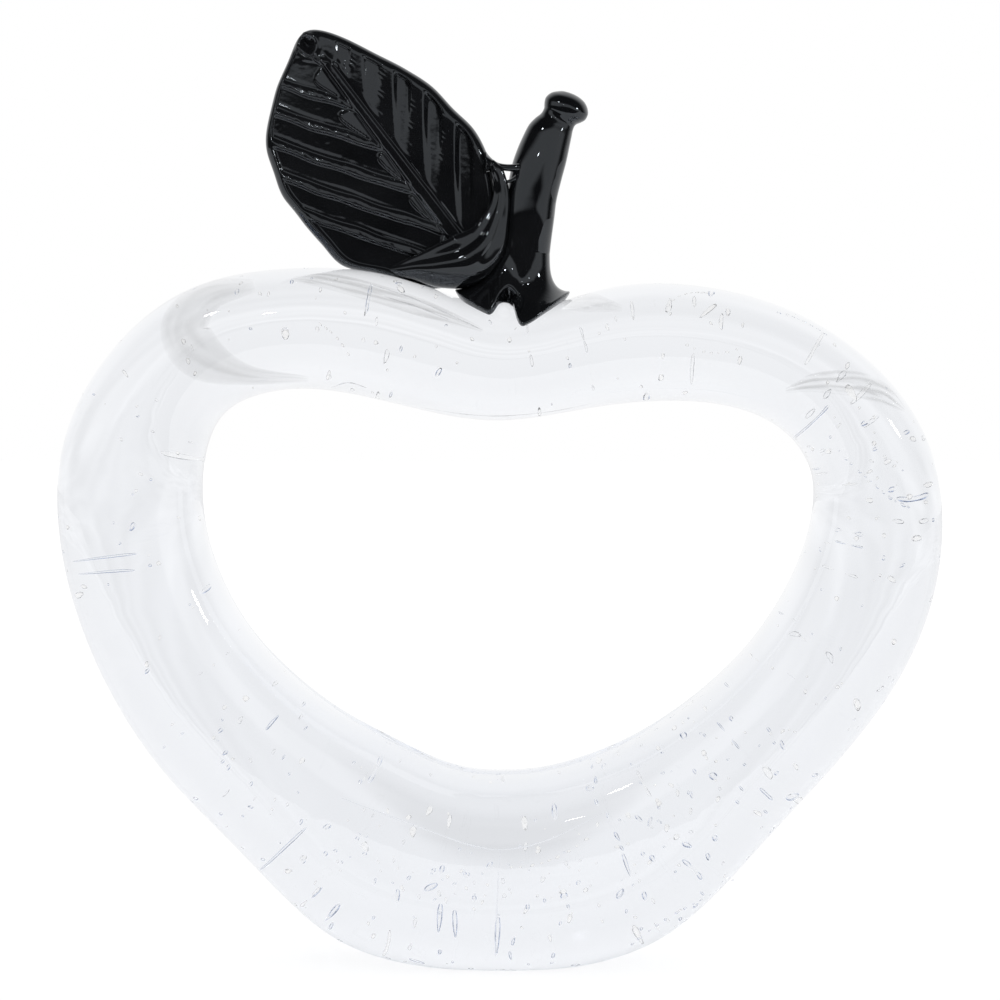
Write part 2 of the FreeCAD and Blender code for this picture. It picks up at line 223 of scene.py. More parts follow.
def loop_places():
    """Places of the outline's sections along the loop, as lengths in millimetres, and its total."""
    half_width, height = LOOP_WIDTH / 2, LOOP_HEIGHT + FOOT_GRIND
    middle_x = (OUTLINE_SHARES[:, 0] + OUTLINE_SHARES[:, 2]) / 2 * half_width
    middle_z = (OUTLINE_SHARES[:, 1] + OUTLINE_SHARES[:, 3]) / 2 * height
    middles = np.stack([middle_x, middle_z], 1)
    steps = np.linalg.norm(np.roll(middles, -1, 0) - middles, axis=1)
    return np.concatenate([[0], np.cumsum(steps)])


def loop_section(places):
    """Middle, reach, half depth and squareness of the loop's section at each place."""
    shares = periodic_spline(loop_places(), OUTLINE_SHARES, places)
    scale = np.array([LOOP_WIDTH / 2, LOOP_HEIGHT + FOOT_GRIND])
    outer, inner = shares[:, :2] * scale, shares[:, 2:] * scale
    middle, reach = np.zeros((len(places), 3)), np.zeros((len(places), 3))
    middle[:, [0, 2]] = (outer + inner) / 2 - [0, FOOT_GRIND]
    reach[:, [0, 2]] = (outer - inner) / 2
    up = shares[:, 1]
    half_depth = (FOOT_DEPTH + (CROWN_DEPTH - FOOT_DEPTH) * up) / 2
    squareness = FOOT_SQUARENESS + (CROWN_SQUARENESS - FOOT_SQUARENESS) * up
    return middle, reach, half_depth, squareness


def loop_skin(section, angle):
    """Offset from the middle of the section to its skin, at an angle from its outer edge."""
    _, reach, half_depth, squareness = section
    across, through = np.cos(angle), np.sin(angle)
    swell = (abs(across) ** squareness + abs(through) ** squareness) ** (-1 / squareness)
    offset = reach * (across * swell)[:, None]
    offset[:, 1] += half_depth * through * swell
    return offset


def soft_floor(z, radius):
    """z held above 0, with a small round edge where the flat begins."""
    return (z + np.sqrt(z * z + radius * radius)) / 2


def loop_grid():
    """Points of the loop's skin, ring by ring, with the slight waves of hot-worked glass."""
    total = loop_places()[-1]
    places = np.repeat(np.linspace(0, total, LOOP_RINGS, endpoint=False), LOOP_AROUND)
    angles = np.tile(np.linspace(0, math.tau, LOOP_AROUND, endpoint=False), LOOP_RINGS)
    section = loop_section(places)
    offset = loop_skin(section, angles)
    points = section[0] + offset
    wave = (1 + wander(points, 34.0, 1)) / 2 + 0.35 * (1 + wander(points, 13.0, 2)) / 2
    points -= offset / np.linalg.norm(offset, axis=1)[:, None] * (wave * LOOP_WAVE)[:, None]
    from_well = np.stack([(points[:, 0] - WELL[0]) / 2.7, (points[:, 1] - WELL[1]) / 4.6], 1)
    welled = WELL[2] * np.exp(-((from_well**2).sum(1) ** 1.5)) * smooth_step(points[:, 2], 150, 156)
    points[:, 2] += welled
    raised = soft_floor(points[:, 2], FOOT_EDGE)
    points[:, 2] = np.where(points[:, 2] < 3 * FOOT_EDGE, raised, points[:, 2])
    return points


def bubble_density(x, z):
    """How thickly the seeds lie at a place of the front view: thick at the bottom and lower right."""
    low = smooth_step(-z, -62, -20)
    low_right = bump(x - 48, 40) * bump(z - 38, 32)
    right = bump(x - 92, 18) * bump(z - 118, 26)
    crown = 0.22 * smooth_step(z, 140, 156)
    return np.clip(0.14 + 0.75 * low + 0.8 * low_right + 0.8 * right + crown, 0, 1)


def bubble_shell(centre, direction, length, width, taper):
    """One bubble: a drop along direction. Its faces look inwards, because it is a hole in the glass."""
    direction = direction / np.linalg.norm(direction)
    side = np.cross(direction, [0.3, 0.9, 0.2])
    side /= np.linalg.norm(side)
    other = np.cross(direction, side)
    tilt = np.linspace(0, math.pi, BUBBLE_RINGS + 2)[1:-1]
    turn = np.linspace(0, math.tau, BUBBLE_AROUND, endpoint=False)
    along = np.cos(tilt)
    radius = width / 2 * np.sin(tilt) * (1 + taper * along)
    ring = np.cos(turn)[:, None] * side + np.sin(turn)[:, None] * other
    rings = centre + (along * length / 2)[:, None, None] * direction + radius[:, None, None] * ring
    points, faces = closed_tube(rings)
    points[-2:] = centre + direction * length / 2, centre - direction * length / 2
    return points, [face[::-1] for face in faces]


# Larger drawn-out bubbles: place of the middle, length, width, and degrees to the right of upright
DRAWN_BUBBLES = [
    ((-14.5, -12.0, 14.1), 6.4, 1.5, 4),
    ((-10.8, -14.0, 12.9), 6.2, 1.4, -3),
    ((-0.6, -10.0, 10.5), 7.4, 1.5, 3),
    ((-51.0, -8.0, 31.0), 12.5, 0.8, 47),
    ((-93.8, -6.0, 100.6), 12.0, 0.7, 84),
    ((-93.6, -8.0, 97.2), 11.0, 0.7, 88),
    ((30.5, -9.0, 26.0), 6.0, 1.0, -18),
    ((84.0, -4.0, 139.0), 4.4, 1.0, -40),
    ((50.0, -6.0, 157.5), 4.6, 0.9, 60),
]
# Trails of fine seeds: start, end, how far the trail sags, and how many seeds it has
SEED_TRAILS = [
    ((40.0, -7.0, 158.5), (52.0, -8.0, 163.0), 2.0, 9),
    ((44.0, -5.0, 152.5), (58.0, -7.0, 151.0), -1.5, 7),
    ((66.0, -6.0, 157.0), (78.0, -4.0, 150.0), 1.5, 8),
    ((84.0, -5.0, 128.0), (98.0, -6.0, 112.0), -2.0, 12),
    ((58.0, -12.0, 22.0), (30.0, -13.0, 8.0), 3.0, 14),
    ((-36.0, -10.0, 150.0), (-44.0, -8.0, 157.0), 1.0, 6),
    ((2.0, -16.0, 26.0), (22.0, -14.0, 33.0), -2.0, 9),
]


# Threads of trapped air just under the front skin: points x and z, and the radius at the middle
AIR_THREADS = [
    ([(-38, 43.5), (-28, 39.7), (-17, 35.6), (-7, 32.2), (1.5, 31.2), (12, 33.6), (25.7, 40.2)], 0.22),
    ([(0.1, 30.5), (-0.4, 24.0), (-0.8, 15.5), (-1.1, 5.0)], 0.15),
    ([(-30.6, 166.1), (-22.0, 163.3), (-12.5, 159.2), (-4.0, 155.3)], 0.16),
    ([(-27.9, 163.5), (-19.5, 160.8), (-12.0, 157.8)], 0.14),
    ([(-19.4, 137.1), (-9.6, 135.6), (0.1, 135.1), (12.3, 136.1), (22.0, 138.1)], 0.20),
    ([(-41.0, 141.9), (-36.5, 143.3), (-32.0, 142.0)], 0.16),
]
THREAD_RINGS, THREAD_AROUND, THREAD_UNDER = 48, 8, 1.3


def front_depth(skin, x, z, under):
    """A point the given distance under the front skin, at or just below a place of the front view."""
    hit = None
    while hit is None:
        hit = skin.ray_cast(Vector((x, -2 * FOOT_DEPTH, z)), Vector((0, 1, 0)))[0]
        z -= 0 if hit else 0.5
    return x, hit.y + under, z


def thread_shell(skin, places, radius):
    """A tapered thread of air under the front skin. Its faces look inwards."""
    wanted = np.linspace(0, len(places) - 1, THREAD_RINGS)
    line = open_spline(np.arange(len(places)), places, wanted)
    middles = np.array([front_depth(skin, x, z, THREAD_UNDER) for x, z in line])
    along = np.gradient(middles, axis=0)
    along /= np.linalg.norm(along, axis=1)[:, None]
    side = np.cross(along, [0.0, 1.0, 0.0])
    side /= np.linalg.norm(side, axis=1)[:, None]
    other = np.cross(along, side)
    share = wanted / wanted[-1]
    uneven = 1 + 0.35 * np.sin(share * 23.0 + radius * 40)
    size = radius * uneven * np.sqrt(np.clip(np.sin(math.pi * share), 0.01, 1))
    turn = np.linspace(0, math.tau, THREAD_AROUND, endpoint=False)[:, None]
    rings = middles[:, None, :] + size[:, None, None] * (
        np.cos(turn) * side[:, None, :] + np.sin(turn) * 0.6 * other[:, None, :]
    )
    points, faces = closed_tube(rings)
    return points, [face[::-1] for face in faces]


# Dark sheets in the clear glass, a painted reflection of the black leaf and the dark studio: points x
# and z with the half width, then how dark and how streaky
PAINTED_REFLECTIONS = [
    ([(-59.0, 166.0, 1.6), (-70.0, 163.5, 4.0), (-75.5, 156.5, 6.0), (-71.5, 149.5, 6.0),
      (-61.0, 145.3, 2.6), (-46.0, 144.2, 0.8)], 0.25, 0.15),
    ([(-50.0, 167.6, 0.6), (-41.5, 167.0, 1.9), (-30.0, 164.2, 2.2), (-18.0, 160.4, 2.0),
      (-4.0, 155.3, 0.5)], 0.36, 0.7),
    ([(68.5, 141.5, 0.6), (76.0, 143.2, 2.4), (85.0, 142.6, 3.0), (92.0, 140.0, 2.6),
      (97.5, 136.0, 0.6)], 0.34, 0.9),
    ([(15.5, 161.0, 1.0), (21.0, 162.0, 2.5), (29.5, 160.5, 0.8)], 0.16, 0.2),
]
REFLECTION_ALONG, REFLECTION_ACROSS, REFLECTION_UNDER = 90, 28, 1.6


def make_painted_reflections(skin):
    """Thin dark sheets of painted reflection that follow the front skin from inside, with their
    darkness at each vertex.
    """
    across = np.linspace(-1, 1, REFLECTION_ACROSS)
    points, faces, darkness = [], [], []
    for number, (places, dark, streaky) in enumerate(PAINTED_REFLECTIONS):
        wanted = np.linspace(0, len(places) - 1, REFLECTION_ALONG)
        line = open_spline(np.arange(len(places)), places, wanted)
        heading = np.gradient(line[:, :2], axis=0)
        heading /= np.linalg.norm(heading, axis=1)[:, None]
        share = wanted / wanted[-1]
        for (x, z, half), (along_x, along_z), u in zip(line, heading, share):
            for v in across:
                place = x - along_z * v * half, z + along_x * v * half
                points.append(front_depth(skin, *place, REFLECTION_UNDER))
                grain = noise.noise(Vector((u * 5.0, v * 3.2, number * 7.0)))
                streak = 0.5 + 0.5 * math.sin(v * 9.0 + 2.5 * math.sin(u * 5.0) + 3.0 * grain)
                edge = (1 - v * v) * min(1.0, 6 * u, 6 * (1 - u))
                darkness.append(dark * edge**0.45 * (1 - streaky * streak) * (1 + 0.5 * grain))
        quads = grid_faces(REFLECTION_ALONG, REFLECTION_ACROSS)
        whole = quads[(quads % REFLECTION_ACROSS != REFLECTION_ACROSS - 1)[:, 0]]
        faces += (whole + number * REFLECTION_ALONG * REFLECTION_ACROSS).tolist()
    reflection_sheets = make_mesh("painted_reflection_sheets", points, faces)
    darkness = np.clip(darkness, 0, 1)
    reflection_sheets.data.attributes.new("darkness", "FLOAT", "POINT").data.foreach_set("value", darkness)
    return reflection_sheets


def scattered_bubbles():
    """Centre, direction, length, width and taper of each seed strewn through the glass."""
    total = loop_places()[-1]
    tries = BUBBLES * BUBBLE_TRIES
    places = rng.uniform(0, total, tries)
    angles = rng.uniform(0, math.tau, tries)
    deep = np.sqrt(rng.uniform(0, 1, tries)) * BUBBLE_DEEPEST
    section = loop_section(places)
    offset = loop_skin(section, angles)
    centres = section[0] + offset * deep[:, None]
    reach = np.linalg.norm(section[1], axis=1)
    room = (1 - deep) * np.minimum(reach, section[2])
    widths = np.clip(rng.lognormal(-0.38, 0.42, tries), 0.35, 2.0)
    stretch = 1 + rng.gamma(1.6, 0.28, tries)
    lean = rng.normal(0.2, 0.75, tries)
    keep = rng.uniform(0, 1, tries) < bubble_density(centres[:, 0], centres[:, 2])
    keep &= room > widths * stretch * BUBBLE_ROOM
    keep &= centres[:, 2] > 2.5
    seeds, taken = [], np.zeros((0, 3))
    for k in np.flatnonzero(keep):
        if len(taken) and np.min(np.linalg.norm(taken - centres[k], axis=1)) < BUBBLE_APART:
            continue
        taken = np.vstack([taken, centres[k]])
        direction = np.array([math.sin(lean[k]), rng.normal(0, 0.25), math.cos(lean[k])])
        taper = rng.uniform(-0.1, 0.5)
        seeds.append((centres[k], direction, widths[k] * stretch[k], widths[k], taper))
        if len(seeds) == BUBBLES:
            break
    return seeds


def placed_bubbles():
    """The drawn-out bubbles and the trails of fine seeds."""
    seeds = []
    for centre, length, width, lean in DRAWN_BUBBLES:
        angle = math.radians(lean)
        direction = np.array([math.sin(angle), 0, math.cos(angle)])
        seeds.append((np.array(centre), direction, length, width, 0.35))
    for start, end, sag, count in SEED_TRAILS:
        start, end = np.array(start), np.array(end)
        for k in range(count):
            u = (k + rng.uniform(-0.2, 0.2) + 0.5) / count
            centre = start + (end - start) * u + np.array([0, 0, sag * 4 * u * (1 - u)])
            width = rng.uniform(0.35, 0.7)
            seeds.append((centre, end - start, width * rng.uniform(1.2, 2.2), width, 0.2))
    return seeds


def make_loop():
    """The clear loop with its bubbles as hollows inside the glass."""
    points = loop_grid()
    quads = grid_faces(LOOP_RINGS, LOOP_AROUND, closed=True)
    if volume_of(points, quads) < 0:
        quads = quads[:, ::-1]
    skin = BVHTree.FromPolygons(points.tolist(), quads.tolist())
    all_points, faces = [points], quads.tolist()
    count = len(points)
    shells = [bubble_shell(*seed) for seed in placed_bubbles() + scattered_bubbles()]
    shells += [thread_shell(skin, places, radius) for places, radius in AIR_THREADS]
    for shell, shell_faces in shells:
        all_points.append(shell)
        faces += [[corner + count for corner in face] for face in shell_faces]
        count += len(shell)
    return make_mesh("apple_loop_glass", np.vstack(all_points), faces), skin


loop_glass, crown_skin = make_loop()


def crown_height(x, y):
    """Height of the crown's glass under a point, in millimetres."""
    above = LOOP_HEIGHT + 10
    hit = crown_skin.ray_cast(Vector((x, y, above)), Vector((0, 0, -1)))[0]
    return hit.z if hit is not None else DIP[2]


# The black stem

# From the waist up: height above the dip, middle to the right of it, radius, and the ring's lean
STEM_STATIONS = [
    (14.5, 2.9, 6.30, 8),
    (18.0, 3.6, 6.00, 10),
    (23.5, 4.3, 6.05, 11),
    (28.0, 4.8, 6.15, 12),
    (33.5, 6.0, 6.32, 13),
    (37.5, 7.2, 6.20, 14),
    (41.5, 8.5, 5.75, 15),
    (43.6, 9.3, 5.40, 16),
    (45.2, 10.2, 4.85, 17),
    (46.3, 11.2, 4.45, 19),
    (47.2, 12.2, 4.85, 21),
    (47.9, 12.7, 5.30, 21),
    (48.7, 13.0, 5.53, 21),
    (49.6, 13.3, 5.55, 21),
    (50.5, 13.6, 5.15, 21),
    (51.3, 13.9, 4.45, 21),
    (51.9, 14.2, 3.45, 21),
    (52.4, 14.3, 2.20, 21),
    (52.6, 14.4, 0.90, 21),
]
# How far back the stem's middle lies: height above the dip, distance
STEM_BACK = [(14.5, 0.3), (19.0, -0.2), (23.0, -0.2), (27.0, 0.3), (36.0, 1.75), (52.6, 4.4)]
STEM_AROUND = 220
STEM_RINGS, SKIRT_RINGS = 190, 110
# The skirt of the foot: angle round the stem (0 is right, -90 the front) and how far it reaches
SKIRT_REACH = [
    (-180, 13.6), (-165, 14.0), (-150, 14.0), (-135, 13.4), (-122, 13.2), (-110, 13.6), (-84, 16.0),
    (-75, 15.6), (-58, 14.4), (-30, 13.6), (0, 13.8), (30, 13.2), (60, 13.6), (90, 13.0), (120, 13.8),
    (150, 13.2), (180, 13.6),
]
# Notches between the toes: angle, half width in degrees, and how far they reach in
SKIRT_NOTCHES = [(-98.5, 12.5, 9.6), (92, 14, 6.0)]
SKIRT_LIP = 1.9
SKIRT_TURN = 0.84  # share of the way down where the skirt's edge begins to curl under


def stem_rings():
    """Rings of the rod from its sheared tip down to the waist."""
    heights = np.arange(len(STEM_STATIONS), dtype=float)
    wanted = np.linspace(heights[-1], 0, STEM_RINGS)
    path = open_spline(heights, STEM_STATIONS, wanted)
    turn = np.linspace(0, math.tau, STEM_AROUND, endpoint=False)
    rings = []
    for up, aside, radius, lean in path:
        lean = math.radians(lean)
        back = open_spline(*zip(*STEM_BACK), np.array([up]))[0, 0]
        middle = DIP + [aside, back, up]
        across = np.array([math.cos(lean), 0, -math.sin(lean)])
        through = np.array([0, 0.97, 0])
        ring = middle + radius * (np.cos(turn)[:, None] * across + np.sin(turn)[:, None] * through)
        rings.append(ring)
    return np.array(rings)


def skirt_rings(waist):
    """Rings from the waist down the flaring foot, to where it lies on the crown."""
    turn = np.linspace(0, math.tau, STEM_AROUND, endpoint=False)
    degrees = np.degrees((turn + math.pi) % math.tau - math.pi)
    angles, reaches = zip(*SKIRT_REACH)
    reach = open_spline(angles, reaches, degrees)[:, 0]
    notch = sum(
        deep * np.exp(-(((degrees - angle) / half) ** 4)) for angle, half, deep in SKIRT_NOTCHES
    )
    flare = 2.9 - 1.6 * smooth_step(-np.cos(turn), 0.1, 1.0)
    waist_height = waist[:, 2].mean()
    rings = []
    for k in range(1, SKIRT_RINGS + 1):
        u = k / SKIRT_RINGS
        t = min(u / SKIRT_TURN, 1.0)
        cut_in = reach - notch * smooth_step(t, 0.60, 0.98)
        edge_x = DIP[0] + cut_in * np.cos(turn)
        edge_y = cut_in * np.sin(turn)
        swing = max(u - SKIRT_TURN, 0) / (1 - SKIRT_TURN) * math.pi * 0.60
        out = t**flare
        curl = SKIRT_LIP * (0.5 * math.sin(swing) - 1.1 * (1 - math.cos(swing)))
        x = waist[:, 0] + (edge_x - waist[:, 0]) * out + curl * np.cos(turn)
        y = waist[:, 1] + (edge_y - waist[:, 1]) * out + curl * np.sin(turn)
        crown = np.array([crown_height(a, b) for a, b in zip(x, y)])
        drop = 1 - (1 - t) ** 1.25
        z = waist_height + (crown + SKIRT_LIP - waist_height) * drop
        z = z + (waist[:, 2] - waist_height) * (1 - t)
        if u > SKIRT_TURN:
            z = crown + SKIRT_LIP * math.cos(swing * 1.05) - 0.15
        z = np.maximum(z, crown - 0.3)
        rings.append(np.stack([x, y, z], 1))
    return np.array(rings)


def make_stem():
    """The stem: a leaning rod with a bent nub above and a skirt of two front toes below."""
    rod = stem_rings()
    skirt = skirt_rings(rod[-1])
    rings = np.concatenate([rod, skirt])
    shape = rings.shape
    points = rings.reshape(-1, 3)
    axis = np.repeat(rings.mean(1), shape[1], 0)
    out = points - axis
    length = np.linalg.norm(out, axis=1)
    out /= np.maximum(length, 0.01)[:, None]
    waves = 0.05 * wander(points, np.array([9.0, 9.0, 34.0]), 5) + 0.01 * wander(points, 3.2, 6)
    hollow = bump(points[:, 0] - 5.4, 1.9) * bump(points[:, 2] - 165.6, 3.4) * (points[:, 1] < -4)
    free = smooth_step(points[:, 2] - DIP[2], 2.0, 6.0)
    points = points + out * (waves * free - 1.3 * hollow)[:, None]
    return tube_mesh("stem_glass", points.reshape(shape))


# The leaf

# Along the midrib, then the half width to the left and right, as shares of the leaf's length
LEAF_OUTLINE_SHARES = [
    (-0.150, 0.060, 0.030), (-0.120, 0.142, 0.060), (-0.040, 0.250, 0.148), (0.077, 0.322, 0.231),
    (0.192, 0.415, 0.283), (0.308, 0.430, 0.302), (0.423, 0.438, 0.285), (0.538, 0.4365, 0.271),
    (0.654, 0.4115, 0.229), (0.769, 0.350, 0.173), (0.885, 0.221, 0.115), (0.942, 0.125, 0.079),
    (1.000, 0.000, 0.000),
]
LEAF_RINGS, LEAF_FRONT, LEAF_BACK = 270, 230, 90
LEAF_BOW = 2.0
RIM_RADIUS = 2.7
RIB_HALF = 0.62  # half the width of a rib's flat top
PAD_DEPTH = 0.95  # how deep the pads between the left ribs are pressed
# A faint second ridge above each left rib: share of the way to the next rib, and height
FINE_RIDGE_PLACE, FINE_RIDGE_HEIGHT = 0.25, 0.17
RIB_TILT = 0.19  # how steeply a rib's top faces upwards
SCOOP_SLOPE = 0.115  # how much deeper a scoop gets outwards
LEAF_LEFT_RIBS = [-9.6, 2.4, 14.6, 27.6, 40.0]
LEAF_RIGHT_RIBS = [-8.0, 4.4, 17.2, 29.4, 42.0, 53.0]


def leaf_half_thickness(along):
    """Half the leaf's thickness along the midrib."""
    return open_spline([-0.15, 0.1, 0.5, 0.85, 1.0], [2.4, 3.2, 3.2, 2.7, 2.1], along)[:, 0]


def left_relief(s, v, edge):
    """Left half of the face: pressed pads between ribs with flat tops that face a little upwards."""
    sway = 0.20 * np.sin(v * 0.40 + s * 0.21) + 0.06 * np.sin(v * 1.1 - s * 0.4)
    line = s - v / math.tan(VEIN_ANGLE) - 0.0038 * v * v + sway
    nearest = np.full_like(s, 1e3)
    for rib in LEAF_LEFT_RIBS:
        gap = (line - rib) * math.sin(VEIN_ANGLE)
        nearest = np.where(abs(gap) < abs(nearest), gap, nearest)
    half = RIB_HALF * (1 + 0.16 * np.sin(v * 0.5 + s * 0.33))
    crest = 1 - smooth_step(abs(nearest), half, half + 0.55)
    tilt = -RIB_TILT * np.clip(nearest, -half - 0.3, half + 0.3)
    tilt *= 1 + 0.5 * np.sin(v * 0.9 + s * 0.5)
    phase = (line - LEAF_LEFT_RIBS[1]) / VEIN_PITCH % 1
    wider = 1.6 * smooth_step(s, 24, 36) * (1 - smooth_step(s, 50, 55))
    wedge = 1.3 + (2.1 + wider) * np.sin(math.pi * phase) ** 1.6
    inner = smooth_step(v, wedge, wedge + 0.6)
    outer = smooth_step(edge, 1.5, 2.7)
    pad = (1 - crest) * inner * outer
    rise = 0.24 * np.clip(v - 1.1, 0, 2.4 + wider) - 0.42 - 0.15 * wider
    sliver = rise * (1 - inner) * (1 - crest) * smooth_step(v, 0.7, 1.2)
    rough = np.sin(v * 5.3 + np.sin(s * 0.9) * 2) * crest * (0.3 + 0.8 * smooth_step(s, 26, 40))
    fine = np.zeros_like(s)
    for rib, following in zip(LEAF_LEFT_RIBS, LEAF_LEFT_RIBS[1:] + [LEAF_LEFT_RIBS[-1] + VEIN_PITCH]):
        middle = rib + (following - rib) * (FINE_RIDGE_PLACE + 0.02 * np.sin(v * 0.3 + rib))
        uneven = 0.65 + 0.35 * np.sin(v * 0.4 + rib)
        fine += FINE_RIDGE_HEIGHT * uneven * bump((line - middle) * math.sin(VEIN_ANGLE), 0.36)
    return (fine - PAD_DEPTH) * pad + (tilt * crest + 0.06 * rough) * outer * inner + sliver


def right_relief(s, v, edge):
    """Right half of the face: scoops with a drop-shaped floor, deeper outwards, between broad ribs."""
    line = s - v / math.tan(VEIN_ANGLE)
    sine = math.sin(VEIN_ANGLE)
    nearest, span = np.full_like(s, 1e3), np.full_like(s, VEIN_PITCH * sine)
    for low, high in zip(LEAF_RIGHT_RIBS, LEAF_RIGHT_RIBS[1:]):
        gap = (line - (low + high) / 2) * sine
        inside = abs(gap) <= (high - low) / 2 * sine
        nearest = np.where(inside, gap, nearest)
        span = np.where(inside, (high - low) * sine, span)
    half = span / 2
    outward = v / np.maximum(v + edge, 0.5)
    widening = smooth_step(outward, 0.15, 0.66) * (1 - 0.7 * smooth_step(outward, 0.76, 0.90))
    floor_half = 0.10 + 0.90 * widening
    wall = np.clip((abs(nearest + 0.2) - floor_half) / np.maximum(half - 1.1 - floor_half, 0.3), 0, 1)
    inner = smooth_step(v, 1.6, 3.0)
    outer = smooth_step(edge, 1.6, 2.7)
    scoop = (1 - smooth_step(wall, 0, 1)) * inner * outer * (nearest < 100)
    depth = 0.15 + SCOOP_SLOPE * v
    strip = bump(nearest + 2.5, 0.8) * outer * inner * (nearest < 100)
    chatter = 0.020 * np.sin(v * 5.0 + 2.2 * np.sin(s * 1.3 + v * 0.7))
    chatter *= (1 + np.sin(v * 0.9 + s * 0.7)) * strip
    return -depth * scoop + chatter


def leaf_face(s, v, left_half, right_half):
    """How far the front face stands out from the flat of the leaf, apart from its thickness."""
    left_side = v < 0
    away = abs(v)
    edge = np.where(left_side, left_half, right_half) - away
    relief = np.where(left_side, left_relief(s, away, edge), right_relief(s, away, edge))
    rib_half = 1.3 - 0.75 * smooth_step(s, 0, 56)
    midrib = 0.5 * (1 - smooth_step(away, rib_half, rib_half + 0.5))
    midrib -= 0.30 * bump(away - rib_half - 0.7, 0.5)
    midrib *= smooth_step(-s, -57, -52)
    fold = np.where(left_side, 0.03, -0.05) * away
    from_dimple = np.hypot(s - 60.0, v + 1.2)
    dimple = -1.6 * bump(from_dimple, 1.45) + 0.5 * bump(from_dimple - 2.6, 0.7)
    crease = 0.5 * bump((s - 55.0) + (v + 1.0) * 0.9, 0.8) * bump(v + 1.5, 3.5)
    fade = smooth_step(edge, 0.2, 2.4)
    return (relief + midrib + dimple + crease) * fade + fold


def leaf_points():
    """Rings across the leaf from its base to its tip: the front face, then the back."""
    shares = np.array(LEAF_OUTLINE_SHARES)
    low, high = shares[0, 0], shares[-1, 0]
    station = np.arccos(np.clip(1 - 2 * (shares[:, 0] - low) / (high - low), -1, 1)) / math.pi
    wanted = np.linspace(0, 1, LEAF_RINGS)
    along = low + (high - low) * (1 - np.cos(math.pi * wanted)) / 2
    halves = open_spline(station, shares[:, 1:], wanted) * LEAF_SCALE
    halves = np.maximum(halves, 0.02)
    across = np.concatenate([
        np.linspace(-1, 1, LEAF_FRONT),
        np.linspace(1, -1, LEAF_BACK + 2)[1:-1],
    ])
    place = 0.42 * across + 0.58 * np.sin(across * math.pi / 2)  # closer together at the rim
    is_front = np.concatenate([np.ones(LEAF_FRONT, bool), np.zeros(LEAF_BACK, bool)])
    s = np.repeat(along * LEAF_LENGTH, len(place))
    ribs = np.cos((s + 4.0) / VEIN_PITCH * math.tau * 0.98)
    left_half = np.repeat(halves[:, 0], len(place))
    right_half = np.repeat(halves[:, 1], len(place))
    scallop = 0.26 * ribs * smooth_step(left_half, 8, 18) * smooth_step(s, 24, 36)
    left_half = left_half + scallop
    share = np.tile(place, LEAF_RINGS)
    front_side = np.tile(is_front, LEAF_RINGS)
    v = share * np.where(share < 0, left_half, right_half)
    edge = np.where(v < 0, left_half, right_half) - abs(v)
    thick = np.repeat(leaf_half_thickness(along), len(place))
    rim = np.minimum(RIM_RADIUS, 0.5 * (left_half + right_half) + 0.05)
    rounding = np.sqrt(np.clip(1 - (1 - np.clip(edge / rim, 0, 1)) ** 2, 0, 1))
    face = leaf_face(s, v, left_half, right_half)
    tip_fade = smooth_step(rim, 0.6, 2.2)
    stand = thick * rounding + np.where(front_side, 1.0, -0.35) * face * tip_fade
    depth = np.where(front_side, -stand, stand) + LEAF_BOW * (s / LEAF_LENGTH) * abs(s / LEAF_LENGTH)
    up = np.array([-math.sin(LEAF_TILT), 0, math.cos(LEAF_TILT)])
    aside = np.array([math.cos(LEAF_TILT), 0, math.sin(LEAF_TILT)])
    points = LEAF_BASE + s[:, None] * up + v[:, None] * aside
    points[:, 1] += depth
    free = smooth_step(edge, 0.0, 1.5)
    chatter = wander(points, np.array([1.3, 2.0, 0.75]), 8)
    chatter *= smooth_step(wander(points, 7.0, 9), -0.05, 0.35)
    chatter *= np.where(v < 0, 0.045, 0.015)
    points[:, 1] += (chatter + 0.035 * wander(points, 7.0, 10)) * free
    return points.reshape(LEAF_RINGS, -1, 3)


def make_leaf():
    """The leaf, pressed on both faces and fire-polished round its rim."""
    return tube_mesh("leaf_glass", leaf_points())


# The collar and the bridge

# Middle x and z, and radius
COLLAR_STATIONS = [
    (-27.0, 169.9, 0.4), (-25.6, 169.9, 1.2), (-21.0, 170.4, 3.0), (-14.3, 170.9, 5.5),
    (-8.3, 172.4, 6.4), (-3.6, 176.3, 5.2), (-1.0, 181.8, 3.4), (0.3, 187.0, 2.2),
    (0.0, 191.4, 1.7), (-1.1, 194.6, 1.4), (-2.0, 196.4, 0.5),
]
COLLAR_AROUND, COLLAR_RINGS = 150, 220
COLLAR_FORWARD = 2.4


